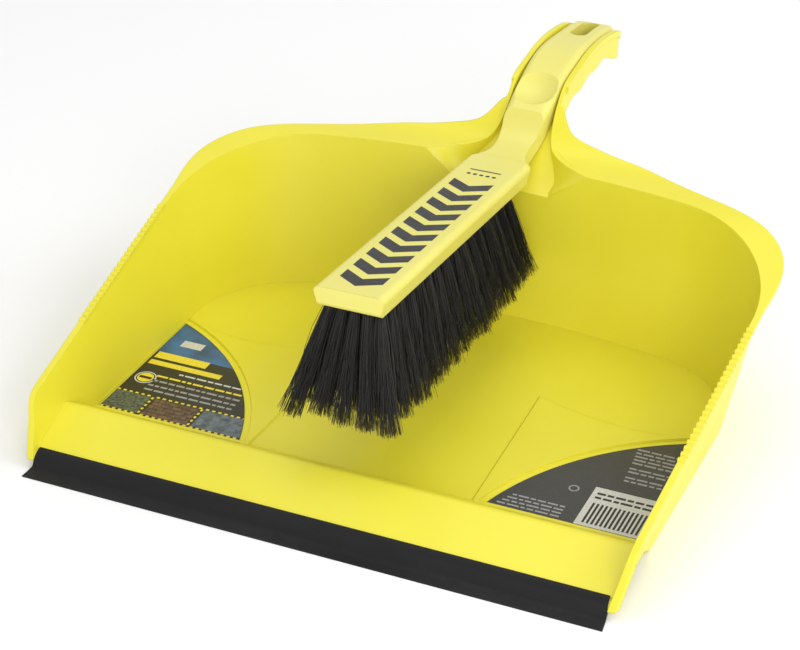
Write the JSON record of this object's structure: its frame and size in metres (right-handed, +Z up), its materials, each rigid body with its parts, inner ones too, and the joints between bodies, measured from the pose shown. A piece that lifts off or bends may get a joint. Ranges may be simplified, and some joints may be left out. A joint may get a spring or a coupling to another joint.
{
  "type": "dust pan and brush set",
  "caption": "Wide scoop dust pan with a rubber lip and a channel handle that holds a long flared hand brush.",
  "frame": {"origin": "centre of the set's footprint, on the floor it rests on", "axes": "+Z up; +Y from the lip towards the handle; +X to the right seen from the lip; x = 0 is the plane of symmetry"},
  "size_m": [0.4226, 0.519, 0.1537],
  "materials": {
    "pan_yellow": "satin moulded polypropylene",
    "lip_rubber": "matte",
    "label_print": "laminated print",
    "label_print_dark": "laminated print",
    "brush_yellow": "satin moulded polypropylene",
    "bristle_black": "stiff filament",
    "staple_steel": "drawn wire"
  },
  "bodies": {
    "pan": {"pan": "pan_yellow", "rubber_lip": "lip_rubber", "label_left": "label_print", "label_right": "label_print_dark"},
    "brush": {"brush_stock": "brush_yellow", "tufts_row_1": "bristle_black", "tufts_row_2": "bristle_black", "tufts_row_3": "bristle_black", "tufts_row_4": "bristle_black", "tufts_row_5": "bristle_black", "staples_row_1": "staple_steel", "staples_row_2": "staple_steel", "staples_row_3": "staple_steel", "staples_row_4": "staple_steel", "staples_row_5": "staple_steel"}
  },
  "joints": [
    {"name": "brush_lift", "type": "slide", "parent": "pan", "child": "brush", "axis": [0, 0, 1], "range_m": [0, 0.15]}
  ]
}
